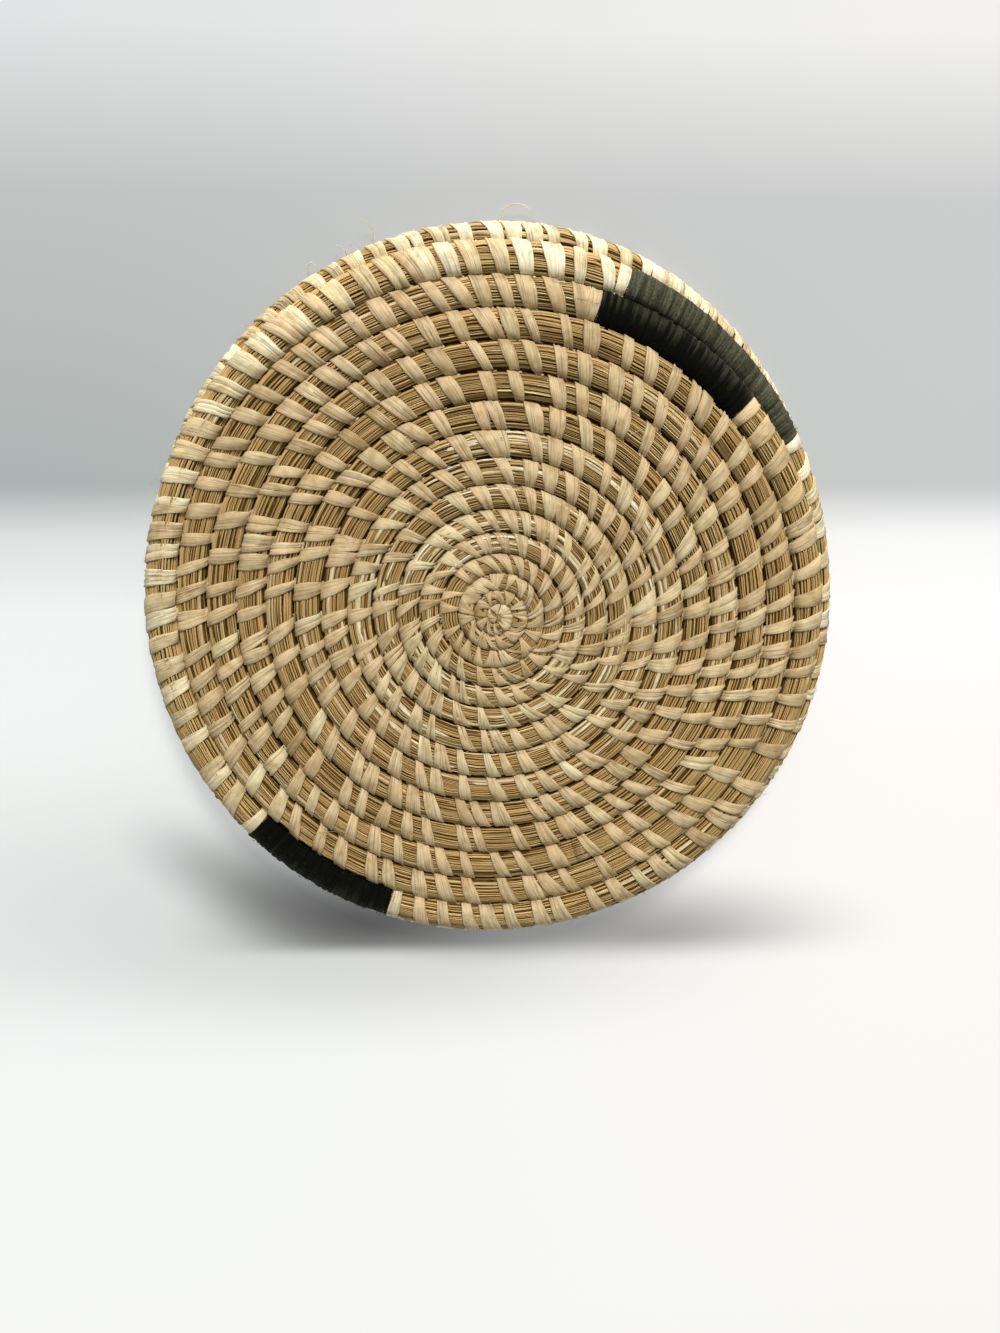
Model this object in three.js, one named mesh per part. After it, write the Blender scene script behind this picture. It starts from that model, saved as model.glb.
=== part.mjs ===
// Coiled basket. One bundle of grass winds from a knot in the middle of the base out to the rim:
// flat at first, then round the corner and up a wall that leans outwards. Bands of black fibre are
// wrapped round it. Millimetres and degrees, +Z up, origin on the ground under the middle.
import * as THREE from 'three';

// Coil: the width of a turn grows from the knot outwards and settles
const turnCount = 23;
const knotTurns = 2;
const firstEdge = 4.6;
const startPitch = 4;
const fullPitch = 9.6;
const settleTurns = 6;
const coilGap = 0.5;

// Shape of the basket. The base is flat, then each turn lies on the one before it at a slope, which
// grows round the corner by quarter turns. The wall leans outwards, more so on the side where one
// quarter turn was laid low, so the rim isn't quite round and the knot is a little off its middle.
const lastFlatTurn = 14.5;
const cornerSlopes = [0, 8, 54, 60, 76, 41, 83];
const wallLean = 5;
const knotPlaceX = -3.3;
const knotPlaceY = 0.2;
const footCutShare = 0.1;

// Ends of the coil: a straight run at the knot, a taper at the rim
const leadStations = 3;
const taperAngle = 40;
const taperEndShare = 0.4;
const rimTurns = 1;
const spliceGap = 0.3;

// Black bands: two opposite each other on a level, each over two turns, the levels a quarter round.
// The first starts on the last flat turn.
const levelCount = 3;
const levelStepTurns = 2.25;
const bandBeforeCornerTurns = 0.699;
const bandAngle = 31.2;
const farBandTurns = 0.506;
const farBandShorterAngle = 3.3;
const upperRowLaterAngle = 3.4;
const upperRowLongerAngle = 6.4;
const wrapThickness = 0.8;
const wrapGap = 0.35;

// Facets of the coil
const stationsPerTurn = 24;
const sides = 6;

const radians = THREE.MathUtils.degToRad;
const straw = new THREE.MeshStandardMaterial({ color: '#a58a5a', roughness: 0.85, metalness: 0 });
const rimStraw = new THREE.MeshStandardMaterial({ color: '#b79b66', roughness: 0.85, metalness: 0 });
const paleStrip = new THREE.MeshStandardMaterial({ color: '#cdb487', roughness: 0.75, metalness: 0 });
const blackFibre = new THREE.MeshStandardMaterial({ color: '#1f201b', roughness: 0.95, metalness: 0 });

// Outer edge of the coil at a turn, measured along the section of the basket
function rowEdge(turn) {
  const slimmer = (fullPitch - startPitch) * settleTurns * (1 - Math.exp((1 - turn) / settleTurns));
  return firstEdge + fullPitch * (turn - 1) - slimmer;
}

// Half the room that the coil has between its neighbours, which is also half its thickness
const halfPitch = (turn) => (rowEdge(turn) - rowEdge(turn - 1)) / 2;

// The middle of the coil at a turn, measured in the same way
const alongAt = (turn) => (rowEdge(turn) + rowEdge(turn - 1)) / 2;

const fullTurn = 360;
const angleAt = (turn) => radians(fullTurn * (turn + 1 / 4));

// The slope at which a turn lies on the one before it
function slopeAt(turn) {
  const slopes = [...cornerSlopes, 90 - wallLean];
  const quarters = THREE.MathUtils.clamp(4 * (turn - lastFlatTurn), 0, slopes.length - 1);
  const before = Math.min(Math.floor(quarters), slopes.length - 2);
  const share = THREE.MathUtils.smoothstep(quarters - before, 0, 1);
  return radians(THREE.MathUtils.lerp(slopes[before], slopes[before + 1], share));
}

// A step up the basket's section: x is outwards and y upwards
const stepAlong = (slope, length) =>
  new THREE.Vector2(Math.cos(slope), Math.sin(slope)).multiplyScalar(length);

// Where the middle of the coil is in the section, above its height on the ground
function placeAt(turn) {
  if (turn <= lastFlatTurn) return new THREE.Vector2(alongAt(turn), 0);
  return placeAt(turn - 1).add(stepAlong(slopeAt(turn), alongAt(turn) - alongAt(turn - 1)));
}

// The middle and the corners of the coil's section at a turn. Two corners point at the neighbouring
// turns, and what would reach below the ground is cut flat to it. The section stands square to the
// direction facing, which is the turn's own except at an end.
function sectionAt(turn, facing = angleAt(turn)) {
  const left = ((turnCount - turn) * fullTurn) / taperAngle;
  const share = Math.min(1, taperEndShare + (1 - taperEndShare) * left);
  const room = halfPitch(turn);
  const halfWide = (room - coilGap / 2) * share;
  const thinner = stepAlong(slopeAt(turn), (room - coilGap / 2) * (1 - share));
  const { x: radius, y: height } = placeAt(turn).sub(thinner);
  const slope = (slopeAt(turn) + slopeAt(turn + 1)) / 2;
  const lift = room * (1 - 2 * footCutShare);
  const outwards = new THREE.Vector3(Math.cos(facing), Math.sin(facing), 0);
  const middle = new THREE.Vector3(Math.cos(angleAt(turn)), Math.sin(angleAt(turn)), 0)
    .multiplyScalar(radius)
    .setZ(height + lift);
  const corners = [];
  for (let side = 0; side < sides; side++) {
    const turned = radians((fullTurn * side) / sides);
    const next = halfWide * Math.cos(turned);
    const inwards = (room * share * Math.sin(turned)) / Math.cos(Math.PI / sides);
    const corner = outwards
      .clone()
      .multiplyScalar(next * Math.cos(slope) - inwards * Math.sin(slope))
      .add(middle);
    corner.z = Math.max(middle.z + next * Math.sin(slope) + inwards * Math.cos(slope), 0);
    corners.push(corner);
  }
  return { middle, corners };
}

// The section anywhere along the coil, which runs straight from one station to the next
function sectionBetween(turn) {
  const [before, after] = stationsAround(turn);
  if (after === before) return sectionAt(before);
  const share = (turn - before) / (after - before);
  const a = sectionAt(before, facingAt(before));
  const b = sectionAt(after, facingAt(after));
  return {
    middle: a.middle.lerp(b.middle, share),
    corners: a.corners.map((corner, i) => corner.lerp(b.corners[i], share)),
  };
}

// The coil's first run leaves the knot straight and square to it
const leadEnd = knotTurns + leadStations / stationsPerTurn;
const facingAt = (turn) => angleAt(turn === knotTurns ? (knotTurns + leadEnd) / 2 : turn);

function stationsAround(turn) {
  if (turn < leadEnd) return [knotTurns, leadEnd];
  const station = Math.round(turn * stationsPerTurn);
  if (Math.abs(turn * stationsPerTurn - station) < 1e-6) {
    return [station / stationsPerTurn, station / stationsPerTurn];
  }
  const before = Math.floor(turn * stationsPerTurn);
  return [before / stationsPerTurn, (before + 1) / stationsPerTurn];
}

// A length along the coil as a share of a turn, at a place on it
function asTurns(length, turn) {
  const { middle } = sectionAt(turn);
  return length / (2 * Math.PI * Math.hypot(middle.x, middle.y));
}

// Every band as its first and last turn, with its place in the name
function bandList() {
  const bandStart = lastFlatTurn - bandBeforeCornerTurns;
  const bands = [];
  for (let level = 0; level < levelCount; level++) {
    for (const far of [0, 1]) {
      for (const upper of [0, 1]) {
        const start = bandStart + level * levelStepTurns + far * farBandTurns;
        const first = start + upper * (1 + upperRowLaterAngle / fullTurn);
        const angle = bandAngle - far * farBandShorterAngle + upper * upperRowLongerAngle;
        const name = `black_wrap_${level + 1}${'ab'[far]}_${upper ? 'upper' : 'lower'}`;
        bands.push({ name, first, last: first + angle / fullTurn });
      }
    }
  }
  return bands;
}

const bands = bandList();

// Each groove in the coil that a band lies in, a gap longer than the band at both ends
const grooves = bands.map(({ first, last }) => ({
  first: first - asTurns(wrapGap, first),
  last: last + asTurns(wrapGap, last),
}));

// A section drawn in by a depth, seen on its thickness
function drawnIn(turn, depth) {
  const { middle, corners } = sectionBetween(turn);
  const share = 1 - depth / halfPitch(turn);
  return corners.map((corner) => corner.clone().sub(middle).multiplyScalar(share).add(middle));
}

// Turns between two places where the coil bends, with the places themselves
function turnsBetween(first, last) {
  const least = 0.01 / stationsPerTurn;
  const turns = [first];
  const step = 1 / stationsPerTurn;
  for (let station = Math.ceil(first / step); station * step < last - least; station++) {
    const turn = station * step;
    if (turn > first + least && (turn >= leadEnd - least || turn <= knotTurns)) turns.push(turn);
  }
  return [...turns, last];
}

// A closed body from rings of corners. A tube is a run of rings with a cap at both ends, and a
// sleeve runs out along its outside and back along its inside, where the last ring meets the first.
function bodyFromRings(rings, closed) {
  const positions = rings.flatMap((ring) => ring.flatMap(({ x, y, z }) => [x, y, z]));
  const index = [];
  const at = (ring, side) => (ring % rings.length) * sides + (side % sides);
  const runs = closed ? rings.length : rings.length - 1;
  for (let ring = 0; ring < runs; ring++) {
    for (let side = 0; side < sides; side++) {
      const [a, b] = [at(ring, side), at(ring, side + 1)];
      const [c, d] = [at(ring + 1, side), at(ring + 1, side + 1)];
      index.push(a, d, b, a, c, d);
    }
  }
  if (!closed) {
    const end = rings.length - 1;
    for (let side = 1; side < sides - 1; side++) {
      index.push(at(0, 0), at(0, side), at(0, side + 1));
      index.push(at(end, 0), at(end, side + 1), at(end, side));
    }
  }
  const geometry = new THREE.BufferGeometry();
  geometry.setAttribute('position', new THREE.Float32BufferAttribute(positions, 3));
  geometry.setIndex(index);
  geometry.translate(knotPlaceX, knotPlaceY, 0);
  geometry.computeVertexNormals();
  return geometry;
}

function named(name, geometry, material) {
  const mesh = new THREE.Mesh(geometry, material);
  mesh.name = name;
  return mesh;
}

// A length of the coil, narrowed where bands lie round it
function coilPiece(name, first, last, material) {
  const breaks = grooves
    .flatMap((groove) => [groove.first, groove.last])
    .filter((turn) => turn > first && turn < last)
    .sort((a, b) => a - b);
  const ends = [first, ...breaks, last];
  const rings = [];
  for (let run = 0; run < ends.length - 1; run++) {
    const inGroove = grooves.some(
      (groove) => groove.first <= ends[run] && groove.last >= ends[run + 1],
    );
    const depth = inGroove ? wrapThickness + wrapGap : 0;
    rings.push(...turnsBetween(ends[run], ends[run + 1]).map((turn) => drawnIn(turn, depth)));
  }
  return named(name, bodyFromRings(rings, false), material);
}

// A band of fibre, level with the coil outside and a wrap's thickness deep
function wrap({ name, first, last }) {
  const turns = turnsBetween(first, last);
  const outside = turns.map((turn) => drawnIn(turn, 0));
  const inside = turns.map((turn) => drawnIn(turn, wrapThickness)).reverse();
  return named(name, bodyFromRings([...outside, ...inside], true), blackFibre);
}

// The knot is a flat snail. Its edge follows the inside of the coil's first turn, and its step faces
// the coil's end.
function centreKnot() {
  const facing = facingAt(knotTurns);
  const outwards = new THREE.Vector3(Math.cos(facing), Math.sin(facing), 0);
  const back = new THREE.Vector3(Math.sin(facing), -Math.cos(facing), 0);
  const end = sectionAt(knotTurns, facing).corners;
  const innerStep = end[sides / 2].addScaledVector(outwards, -coilGap).addScaledVector(back, spliceGap);
  const outerStep = end[0].addScaledVector(back, spliceGap);
  const edge = turnsBetween(leadEnd, knotTurns + 1).slice(0, -1).map((turn) => {
    const corner = sectionAt(turn).corners[sides / 2];
    return corner.addScaledVector(corner.clone().setZ(0).normalize(), -coilGap);
  });
  const points = [innerStep, ...edge, outerStep].map(({ x, y }) => new THREE.Vector2(x, y));
  const depth = 2 * halfPitch(knotTurns) * (1 - footCutShare);
  const geometry = new THREE.ExtrudeGeometry(new THREE.Shape(points), { depth, bevelEnabled: false });
  geometry.translate(knotPlaceX, knotPlaceY, 0);
  return named('centre_knot', geometry, paleStrip);
}

// The least distance from the coil to its next turn, on points all over both
function leastGap() {
  const outline = (turn) => {
    const { corners } = sectionBetween(turn);
    return corners.flatMap((corner, i) =>
      [0, 0.25, 0.5, 0.75].map((share) => corner.clone().lerp(corners[(i + 1) % sides], share)),
    );
  };
  let least = Infinity;
  const step = 1 / (4 * stationsPerTurn);
  for (let turn = knotTurns; turn + 1 <= turnCount; turn += step) {
    const here = outline(turn);
    for (const next of [turn + 1 - step, turn + 1, turn + 1 + step]) {
      if (next > turnCount) continue;
      for (const a of outline(next)) {
        for (const b of here) least = Math.min(least, a.distanceTo(b));
      }
    }
  }
  return least;
}

// The coil is spliced where the base ends, where the wall begins and a turn before the rim's end. A
// splice is in the middle of a straight run, so that its faces are square to the coil.
function spliceNear(turn) {
  return (Math.floor(turn * stationsPerTurn) + 0.5) / stationsPerTurn;
}

const splices = [
  lastFlatTurn,
  lastFlatTurn + cornerSlopes.length / 4,
  turnCount - rimTurns,
].map(spliceNear);

const startAfter = (splice) => splice + asTurns(spliceGap / 2, splice);
const endBefore = (splice) => splice - asTurns(spliceGap / 2, splice);

const basket = new THREE.Group();
basket.name = 'coiled_basket';
basket.add(
  centreKnot(),
  coilPiece('base_coil', knotTurns, endBefore(splices[0]), straw),
  coilPiece('corner_coil', startAfter(splices[0]), endBefore(splices[1]), straw),
  coilPiece('wall_coil', startAfter(splices[1]), endBefore(splices[2]), straw),
  coilPiece('rim_coil', startAfter(splices[2]), turnCount, rimStraw),
  ...bands.map(wrap),
);

console.log(`least gap of the coil to itself: ${leastGap().toFixed(2)} mm`);

export default basket;
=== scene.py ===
# Coiled basket: a bundle of grass stems, wound from a knot to the rim and sewn with strips of palm leaf,
# with blocks wrapped in black fibre. Shapes are worked out in millimetres and made in metres. A pair of
# lists in a dictionary holds places and the values there, with a straight line from each to the next.
import math

import bmesh
import bpy
import numpy as np
from mathutils import Matrix, Vector


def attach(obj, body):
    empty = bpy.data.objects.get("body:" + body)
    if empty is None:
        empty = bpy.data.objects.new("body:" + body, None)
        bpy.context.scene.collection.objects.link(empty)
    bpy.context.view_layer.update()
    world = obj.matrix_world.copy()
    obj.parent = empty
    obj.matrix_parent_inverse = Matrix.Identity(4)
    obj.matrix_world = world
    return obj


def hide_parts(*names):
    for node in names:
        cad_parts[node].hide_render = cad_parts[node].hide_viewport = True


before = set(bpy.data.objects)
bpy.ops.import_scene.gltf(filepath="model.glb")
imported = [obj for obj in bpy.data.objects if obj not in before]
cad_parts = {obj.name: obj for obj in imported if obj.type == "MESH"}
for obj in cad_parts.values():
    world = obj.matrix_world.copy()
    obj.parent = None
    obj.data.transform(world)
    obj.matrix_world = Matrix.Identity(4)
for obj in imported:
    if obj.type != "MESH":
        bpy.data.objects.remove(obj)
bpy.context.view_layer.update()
bpy.ops.object.select_all(action="DESELECT")


def colour(text):  # an sRGB hex value, made linear
    parts = [int(text[i : i + 2], 16) / 255 for i in (1, 3, 5)]
    return [c / 12.92 if c <= 0.04045 else ((c + 0.055) / 1.055) ** 2.4 for c in parts] + [1]


# The coil, as in the solids. Places along it are turns.
coil = {
    "firstTurn": 0.4,
    "turns": 23,
    "firstEdge": 4.6,
    "startPitch": 4,
    "fullPitch": 9.6,
    "settleTurns": 6,
    "lastFlatTurn": 14.5,
    "cornerSlopes": [0, 8, 54, 60, 76, 41, 83],
    "wallLean": 5,
    "knotPlace": (-3.3, 0.2),
    "startsAt": 0.25,  # of a turn, from +X round to where each turn starts
    "taperTurns": 40 / 360,
    "taperEndShare": 0.35,  # less than in the solids, which leaves room for the strips
    "perTurn": 480,  # places worked out on a turn
    "squareness": ([3, 6, 14, 14.6, 16.4, 17.2], [2.6, 2.2, 2.2, 2.9, 2.9, 2.5]),  # by turn; 2 is round
    "sewingRoom": 0.62,  # from the stems to the edge of the turn's room, inside and outside the basket
    "nextRoom": ([14, 14.5, 16.4, 17.2], [0.04, -0.5, -0.5, -0.2]),  # the same towards the next turns
    "blockRoom": 0.02,  # and where a black block is near
    "slender": 4,  # a turn with a smaller radius has less room, in proportion
    "axisRoom": 2.2,  # nearer the axis than this, lengths along the coil count as here
    "settled": 0.2,  # what reaches below this height is pressed flat, never below the ground
}


def rowEdge(turn):
    slimmer = (coil["fullPitch"] - coil["startPitch"]) * coil["settleTurns"]
    slimmer = slimmer * (1 - np.exp((1 - turn) / coil["settleTurns"]))
    return coil["firstEdge"] + coil["fullPitch"] * (turn - 1) - slimmer


def layCoil():
    # Every turn lies on the one before it: flat, then at a slope that grows round the corner
    perTurn = coil["perTurn"]
    turn = np.arange(-perTurn // 2, (coil["turns"] + 2) * perTurn) / perTurn
    along = np.maximum((rowEdge(turn) + rowEdge(turn - 1)) / 2, 0)
    half = (rowEdge(turn) - rowEdge(turn - 1)) / 2
    slopes = np.array(coil["cornerSlopes"] + [90 - coil["wallLean"]])
    quarters = np.clip(4 * (turn - coil["lastFlatTurn"]), 0, len(slopes) - 1)
    before = np.minimum(np.floor(quarters).astype(int), len(slopes) - 2)
    share = quarters - before
    share = share * share * (3 - 2 * share)  # eased at both ends
    slope = np.radians(slopes[before] * (1 - share) + slopes[before + 1] * share)
    radius, height = along.copy(), np.zeros_like(along)
    for i in range(len(turn)):
        if turn[i] > coil["lastFlatTurn"]:
            step = along[i] - along[i - perTurn]
            radius[i] = radius[i - perTurn] + step * np.cos(slope[i])
            height[i] = height[i - perTurn] + step * np.sin(slope[i])
    left = (coil["turns"] - turn) / coil["taperTurns"]
    thick = np.clip(coil["taperEndShare"] + (1 - coil["taperEndShare"]) * left, coil["taperEndShare"], 1)
    radius -= np.cos(slope) * half * (1 - thick)
    height -= np.sin(slope) * half * (1 - thick)
    nextSlope = np.concatenate([slope[perTurn:], np.full(perTurn, slope[-1])])
    return {
        "turn": turn,
        "radius": radius,
        "height": height + half,
        "tilt": (slope + nextSlope) / 2,
        "bend": np.degrees(nextSlope - slope) / 2,
        "half": half * thick,
    }


laid = layCoil()


def coilAt(turn, what):
    return np.interp(turn, laid["turn"], laid[what])


def turnsFor(length, turn):  # a length along the coil as a share of a turn
    return length / (2 * np.pi * np.maximum(coilAt(turn, "radius"), coil["axisRoom"]))


def onCoil(turn, around, out):
    # around is 0 on the outside of the basket, 90 towards the next turn and 180 on the inside
    turn, around = np.asarray(turn, float), np.radians(around)
    tilt, angle = coilAt(turn, "tilt"), 2 * np.pi * (turn + coil["startsAt"])
    onward, inward = out * np.sin(around), -out * np.cos(around)
    radius = coilAt(turn, "radius") + onward * np.cos(tilt) - inward * np.sin(tilt)
    height = coilAt(turn, "height") + onward * np.sin(tilt) + inward * np.cos(tilt)
    low = coil["settled"]
    height = np.where(height < low, low * np.exp(np.minimum(height - low, 0) / low), height)
    x = radius * np.cos(angle) + coil["knotPlace"][0]
    y = radius * np.sin(angle) + coil["knotPlace"][1]
    return np.stack(np.broadcast_arrays(x, y, height), -1)


# Black blocks: two opposite each other on a level, each over two turns, the levels a quarter round
bands = {
    "levels": 3,
    "levelStep": 2.25,  # turns
    "beforeCorner": 0.699,  # turns
    "far": 0.506,  # turns from a block to the one opposite
    "angle": 31.2,  # degrees, like the last three
    "farShorter": 3.3,
    "upperLater": 3.4,
    "upperLonger": 6.4,
}


def bandList():
    made = []
    for level in range(bands["levels"]):
        for far in (0, 1):
            for upper in (0, 1):
                first = coil["lastFlatTurn"] - bands["beforeCorner"] + level * bands["levelStep"]
                first += far * bands["far"] + upper * (1 + bands["upperLater"] / 360)
                angle = bands["angle"] - far * bands["farShorter"] + upper * bands["upperLonger"]
                name = f"{level + 1}{'ab'[far]}_{'upper' if upper else 'lower'}"
                made.append((name, first, first + angle / 360))
    return made


allBands = bandList()


def inBands(turn):
    turn = np.asarray(turn, float)
    return np.any([(turn > first) & (turn < last) for _, first, last in allBands], axis=0)


def nearBands(turn):  # in a black block or beside one
    return inBands(turn) | inBands(turn - 1) | inBands(turn + 1)


# Strips of leaf, sewn closer together in the middle and over a black block
sewing = {
    "planSeed": 23,
    "firstTurn": 0.42,
    "lastGap": 0.006,  # turns from the last strip to the coil's end, at least
    "knotTurns": (0.86, 1.16),  # wrapped closely instead
    "spacing": ([3, 8, 18, 51, 97], [2.1, 3.2, 5.0, 7.9, 8.2]),  # mm, by the turn's radius
    "closer": ([14.1, 14.5, 15.3, 15.7, 17, 18], [1, 0.9, 0.86, 0.72, 0.76, 0.88]),  # times that, by turn
    "overBlock": 0.56,  # and times this over a black block
    "uneven": 0.11,
    "behind": (1.7, 0.7),  # mm from a strip of the row before back to the one sewn beside it
    "nearby": 0.42,  # share of the spacing within which a strip is sewn beside one of the row before
    "besideBlock": 2.0,  # mm from a black block to the middle of the strip that closes it
    "closesWithin": 1.7,  # a strip that would fall this many times that from a block closes it instead
    "dropsWithin": 2,  # and one before it that is nearer than this is left out
    "looksSeed": 31,
    "width": (3.3, 5.3),
    "slimmer": ([3, 12, 30, 60], [0.46, 0.68, 0.9, 1.0]),  # times the width, by the turn's radius
    "wallFrom": 14.2,  # turn from which they are wider
    "wallWider": 1.1,
    "overNarrower": 0.85,
    "closingWidth": 3.7,
    "thickness": (0.45, 0.62),
    "thinner": ([36, 60], [0.6, 1]),  # times the thickness, by the turn's radius
    "lean": -4.6,  # mm along the coil from the groove behind to the groove ahead, outside the basket
    "leanSpread": 0.22,
    "leansLess": ([3, 20], [0.5, 1]),  # times the lean, by the turn's radius
    "closingLean": 0.2,
    "insideLean": 4.2,
    "insideSpread": 0.1,
    "bite": (-6, 8),  # degrees that a strip enters farther round the turn before
    "tip": ([5, 40, 80], [0.5, 0.6, 0.7]),  # times the width where it enters, by the turn's radius
    "tipSpread": (0.8, 1.15),
    "creasePlace": (-0.5, 0.5),
    "creaseHeight": (0.15, 1.15),
    "overLift": 0.55,  # mm, over black fibre
    "tone": (0.5, 0.14),
    "closingPaler": 0.25,
    "toneRange": (0, 0.9),
    "brighter": ([14.1, 14.6, 17, 18], [0, 0.38, 0.38, 0]),  # tone that is added, by turn: painted light on the corner rows
    "toneShift": ([48, 65], [0.1, 0]),  # tone added nearer the middle, by the turn's radius
    "palest": ([14.3, 14.8, 17, 18], [0.9, 1, 1, 0.9]),  # the highest tone, by turn, higher where that painted light is added
    "rough": ([9, 28], [1, 0]),  # how unevenly it is sewn, by the turn's radius
    "roughly": {"lean": 0.9, "bite": 26, "thickness": 0.5, "width": 0.25, "tone": 0.3},  # and in what
    "doubled": 0.2,  # shares of the strips in two and in three strands
    "split": 0.12,
    "moreStrands": ([14.3, 14.7, 17, 18], [1, 2.4, 2.4, 1]),  # times those shares, by turn
    "overDoubled": 0.75,  # share of the strips over a black block in two
    # strands: share of the strip's width, shift in widths, times its lean, tone added
    "inOne": [(1.0, 0.0, 1.0, 0.0)],
    "inTwo": [(0.58, -0.27, 0.85, 0.0), (0.60, 0.29, 1.1, 0.08)],
    "inThree": [(0.40, -0.33, 0.8, 0.0), (0.42, 0.01, 1.0, 0.1), (0.40, 0.35, 1.2, -0.06)],
    "stray": (0.2, 4, 0.05),  # of a strand: mm along the coil, degrees at its ends, tone
}


def besideLastRow(plan, following, nearby, behind):
    # the place beside the nearest strip of the row before, where there is one near enough
    places = np.array([p[0] for p in plan]) + 1 - behind
    nearest = places[np.argmin(np.abs(places - following))]
    return nearest if abs(nearest - following) < nearby else following


def planStitches():
    rng = np.random.default_rng(sewing["planSeed"])
    turn, plan = sewing["firstTurn"], []
    while turn < coil["turns"] - sewing["lastGap"]:
        overBlock = bool(inBands(turn - 1))
        spacing = np.interp(coilAt(turn, "radius"), *sewing["spacing"])
        spacing *= rng.normal(1, sewing["uneven"]) * (sewing["overBlock"] if overBlock else 1)
        spacing *= np.interp(turn, *sewing["closer"])
        plan.append((turn, overBlock, False))
        following = turn + turnsFor(spacing, turn)
        if not overBlock:
            nearby = turnsFor(spacing * sewing["nearby"], turn)
            behind = turnsFor(rng.normal(*sewing["behind"]), turn)
            following = besideLastRow(plan, following, nearby, behind)
        edge = turnsFor(sewing["besideBlock"], turn)
        for _, first, last in allBands:
            if turn < first and following > first - sewing["closesWithin"] * edge:
                if turn > first - sewing["dropsWithin"] * edge:
                    plan.pop()
                plan.append((first - edge, bool(inBands(first - 1)), True))
                plan.append((last + edge, bool(inBands(last - 1)), True))
                following = last + edge + turnsFor(spacing, turn)
        turn = following
    plan = [p for p in plan if not sewing["knotTurns"][0] < p[0] < sewing["knotTurns"][1]]
    turns, over, closing = zip(*plan)
    return np.array(turns), np.array(over), np.array(closing)


stitchTurn, stitchOver, stitchCloses = planStitches()

# The bundle swells between the strips and is drawn in under them and under the black fibre
pinch = {
    "strip": 0.24,  # mm drawn in
    "between": -0.14,
    "wideGap": 8,  # mm between strips from which it swells fully
    "block": 0.2,
    "fillStep": 3.4,  # mm from place to place between two strips, where they are
    "fillFrom": 2.6,  # this many steps or more apart, or else one place in the middle
}


def layStations():
    turns, depths = [coil["firstTurn"]], [pinch["strip"]]
    for here in [*stitchTurn, coil["turns"]]:
        gap = (here - turns[-1]) / turnsFor(1, here)
        filled = gap >= pinch["fillFrom"] * pinch["fillStep"]
        pieces = int(gap / pinch["fillStep"]) + 1 if filled else 2
        for i in range(1, pieces + 1):
            turn = turns[-1] + (here - turns[-1]) / (pieces + 1 - i)
            depth = pinch["strip"] if i == pieces else pinch["between"] * min(1, gap / pinch["wideGap"])
            turns.append(turn)
            depths.append(pinch["block"] if inBands(turn) else depth)
    return np.array(turns), np.array(depths)


stations, pinchAt = layStations()
stationSteps = np.linalg.norm(np.diff(onCoil(stations, 0, 0), axis=0), axis=1)
lengthAt = np.concatenate([[0], np.cumsum(stationSteps)])


def stationsWithin(first, last):  # the two ends among them
    a, b = np.searchsorted(stations, [first - 1e-9, last - 1e-9])
    return slice(a, b + 1)


def skin(turn, around):  # how far the stems reach from the middle of the bundle
    n, a = np.interp(turn, *coil["squareness"]), np.radians(around)
    full = coilAt(turn, "half")
    share = np.minimum(1, full / coil["slender"])
    drawn = np.interp(turn, stations, pinchAt)
    room = np.where(nearBands(turn), coil["blockRoom"], np.interp(turn, *coil["nextRoom"]))
    wide = full - (room + drawn / 2) * share
    high = full - (coil["sewingRoom"] + drawn) * share
    return (np.abs(np.sin(a) / wide) ** n + np.abs(np.cos(a) / high) ** n) ** (-1 / n)


def meshPiece(name, points, faces, material, nodes, tones=None, uv=None):
    # points in mm; faces is a list of arrays, one for each number of corners; nodes are what it replaces
    mesh = bpy.data.meshes.new(name)
    points = np.asarray(points, float).reshape(-1, 3)
    faces = [f for f in faces if len(f)]
    totals = np.concatenate([np.full(len(f), f.shape[1]) for f in faces])
    corners = np.concatenate([f.ravel() for f in faces])
    starts = np.concatenate([[0], np.cumsum(totals)[:-1]])
    mesh.vertices.add(len(points))
    mesh.vertices.foreach_set("co", (points / 1000).ravel())
    mesh.loops.add(len(corners))
    mesh.loops.foreach_set("vertex_index", corners.astype(np.int32))
    mesh.polygons.add(len(totals))
    mesh.polygons.foreach_set("loop_start", starts.astype(np.int32))
    mesh.polygons.foreach_set("loop_total", totals.astype(np.int32))
    mesh.polygons.foreach_set("use_smooth", np.ones(len(totals), bool))
    if tones is not None:
        mesh.attributes.new("tone", "FLOAT", "POINT").data.foreach_set("value", np.ravel(tones))
    if uv is not None:
        layer = mesh.uv_layers.new(name="along")
        layer.data.foreach_set("uv", np.asarray(uv, float).reshape(-1, 2)[corners].ravel())
    mesh.update()
    mesh.validate()
    mesh.materials.append(material)
    piece = bpy.data.objects.new(name, mesh)
    bpy.context.scene.collection.objects.link(piece)
    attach(piece, "root")
    if nodes:
        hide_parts(*nodes)


def tubeFaces(count, rings, sides):
    # faces of count closed tubes, whose points run by tube, ring and side
    ring = np.arange(rings - 1)[:, None] * sides
    side = np.arange(sides)
    ahead = (side + 1) % sides
    quads = np.stack([ring + side, ring + ahead, ring + sides + ahead, ring + sides + side], -1)
    caps = np.stack([side[::-1], side + (rings - 1) * sides])
    step = (np.arange(count) * rings * sides)[:, None, None]
    return [(quads.reshape(-1, 4) + step).reshape(-1, 4), (caps + step).reshape(-1, sides)]


def setStops(elements, stops):  # of a colour ramp: places with hex colours or greys
    while len(elements) > 1:
        elements.remove(elements[-1])
    for i, (place, value) in enumerate(stops):
        element = elements[0] if i == 0 else elements.new(place)
        element.position = place
        element.color = colour(value) if isinstance(value, str) else [value] * 3 + [1]


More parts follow.
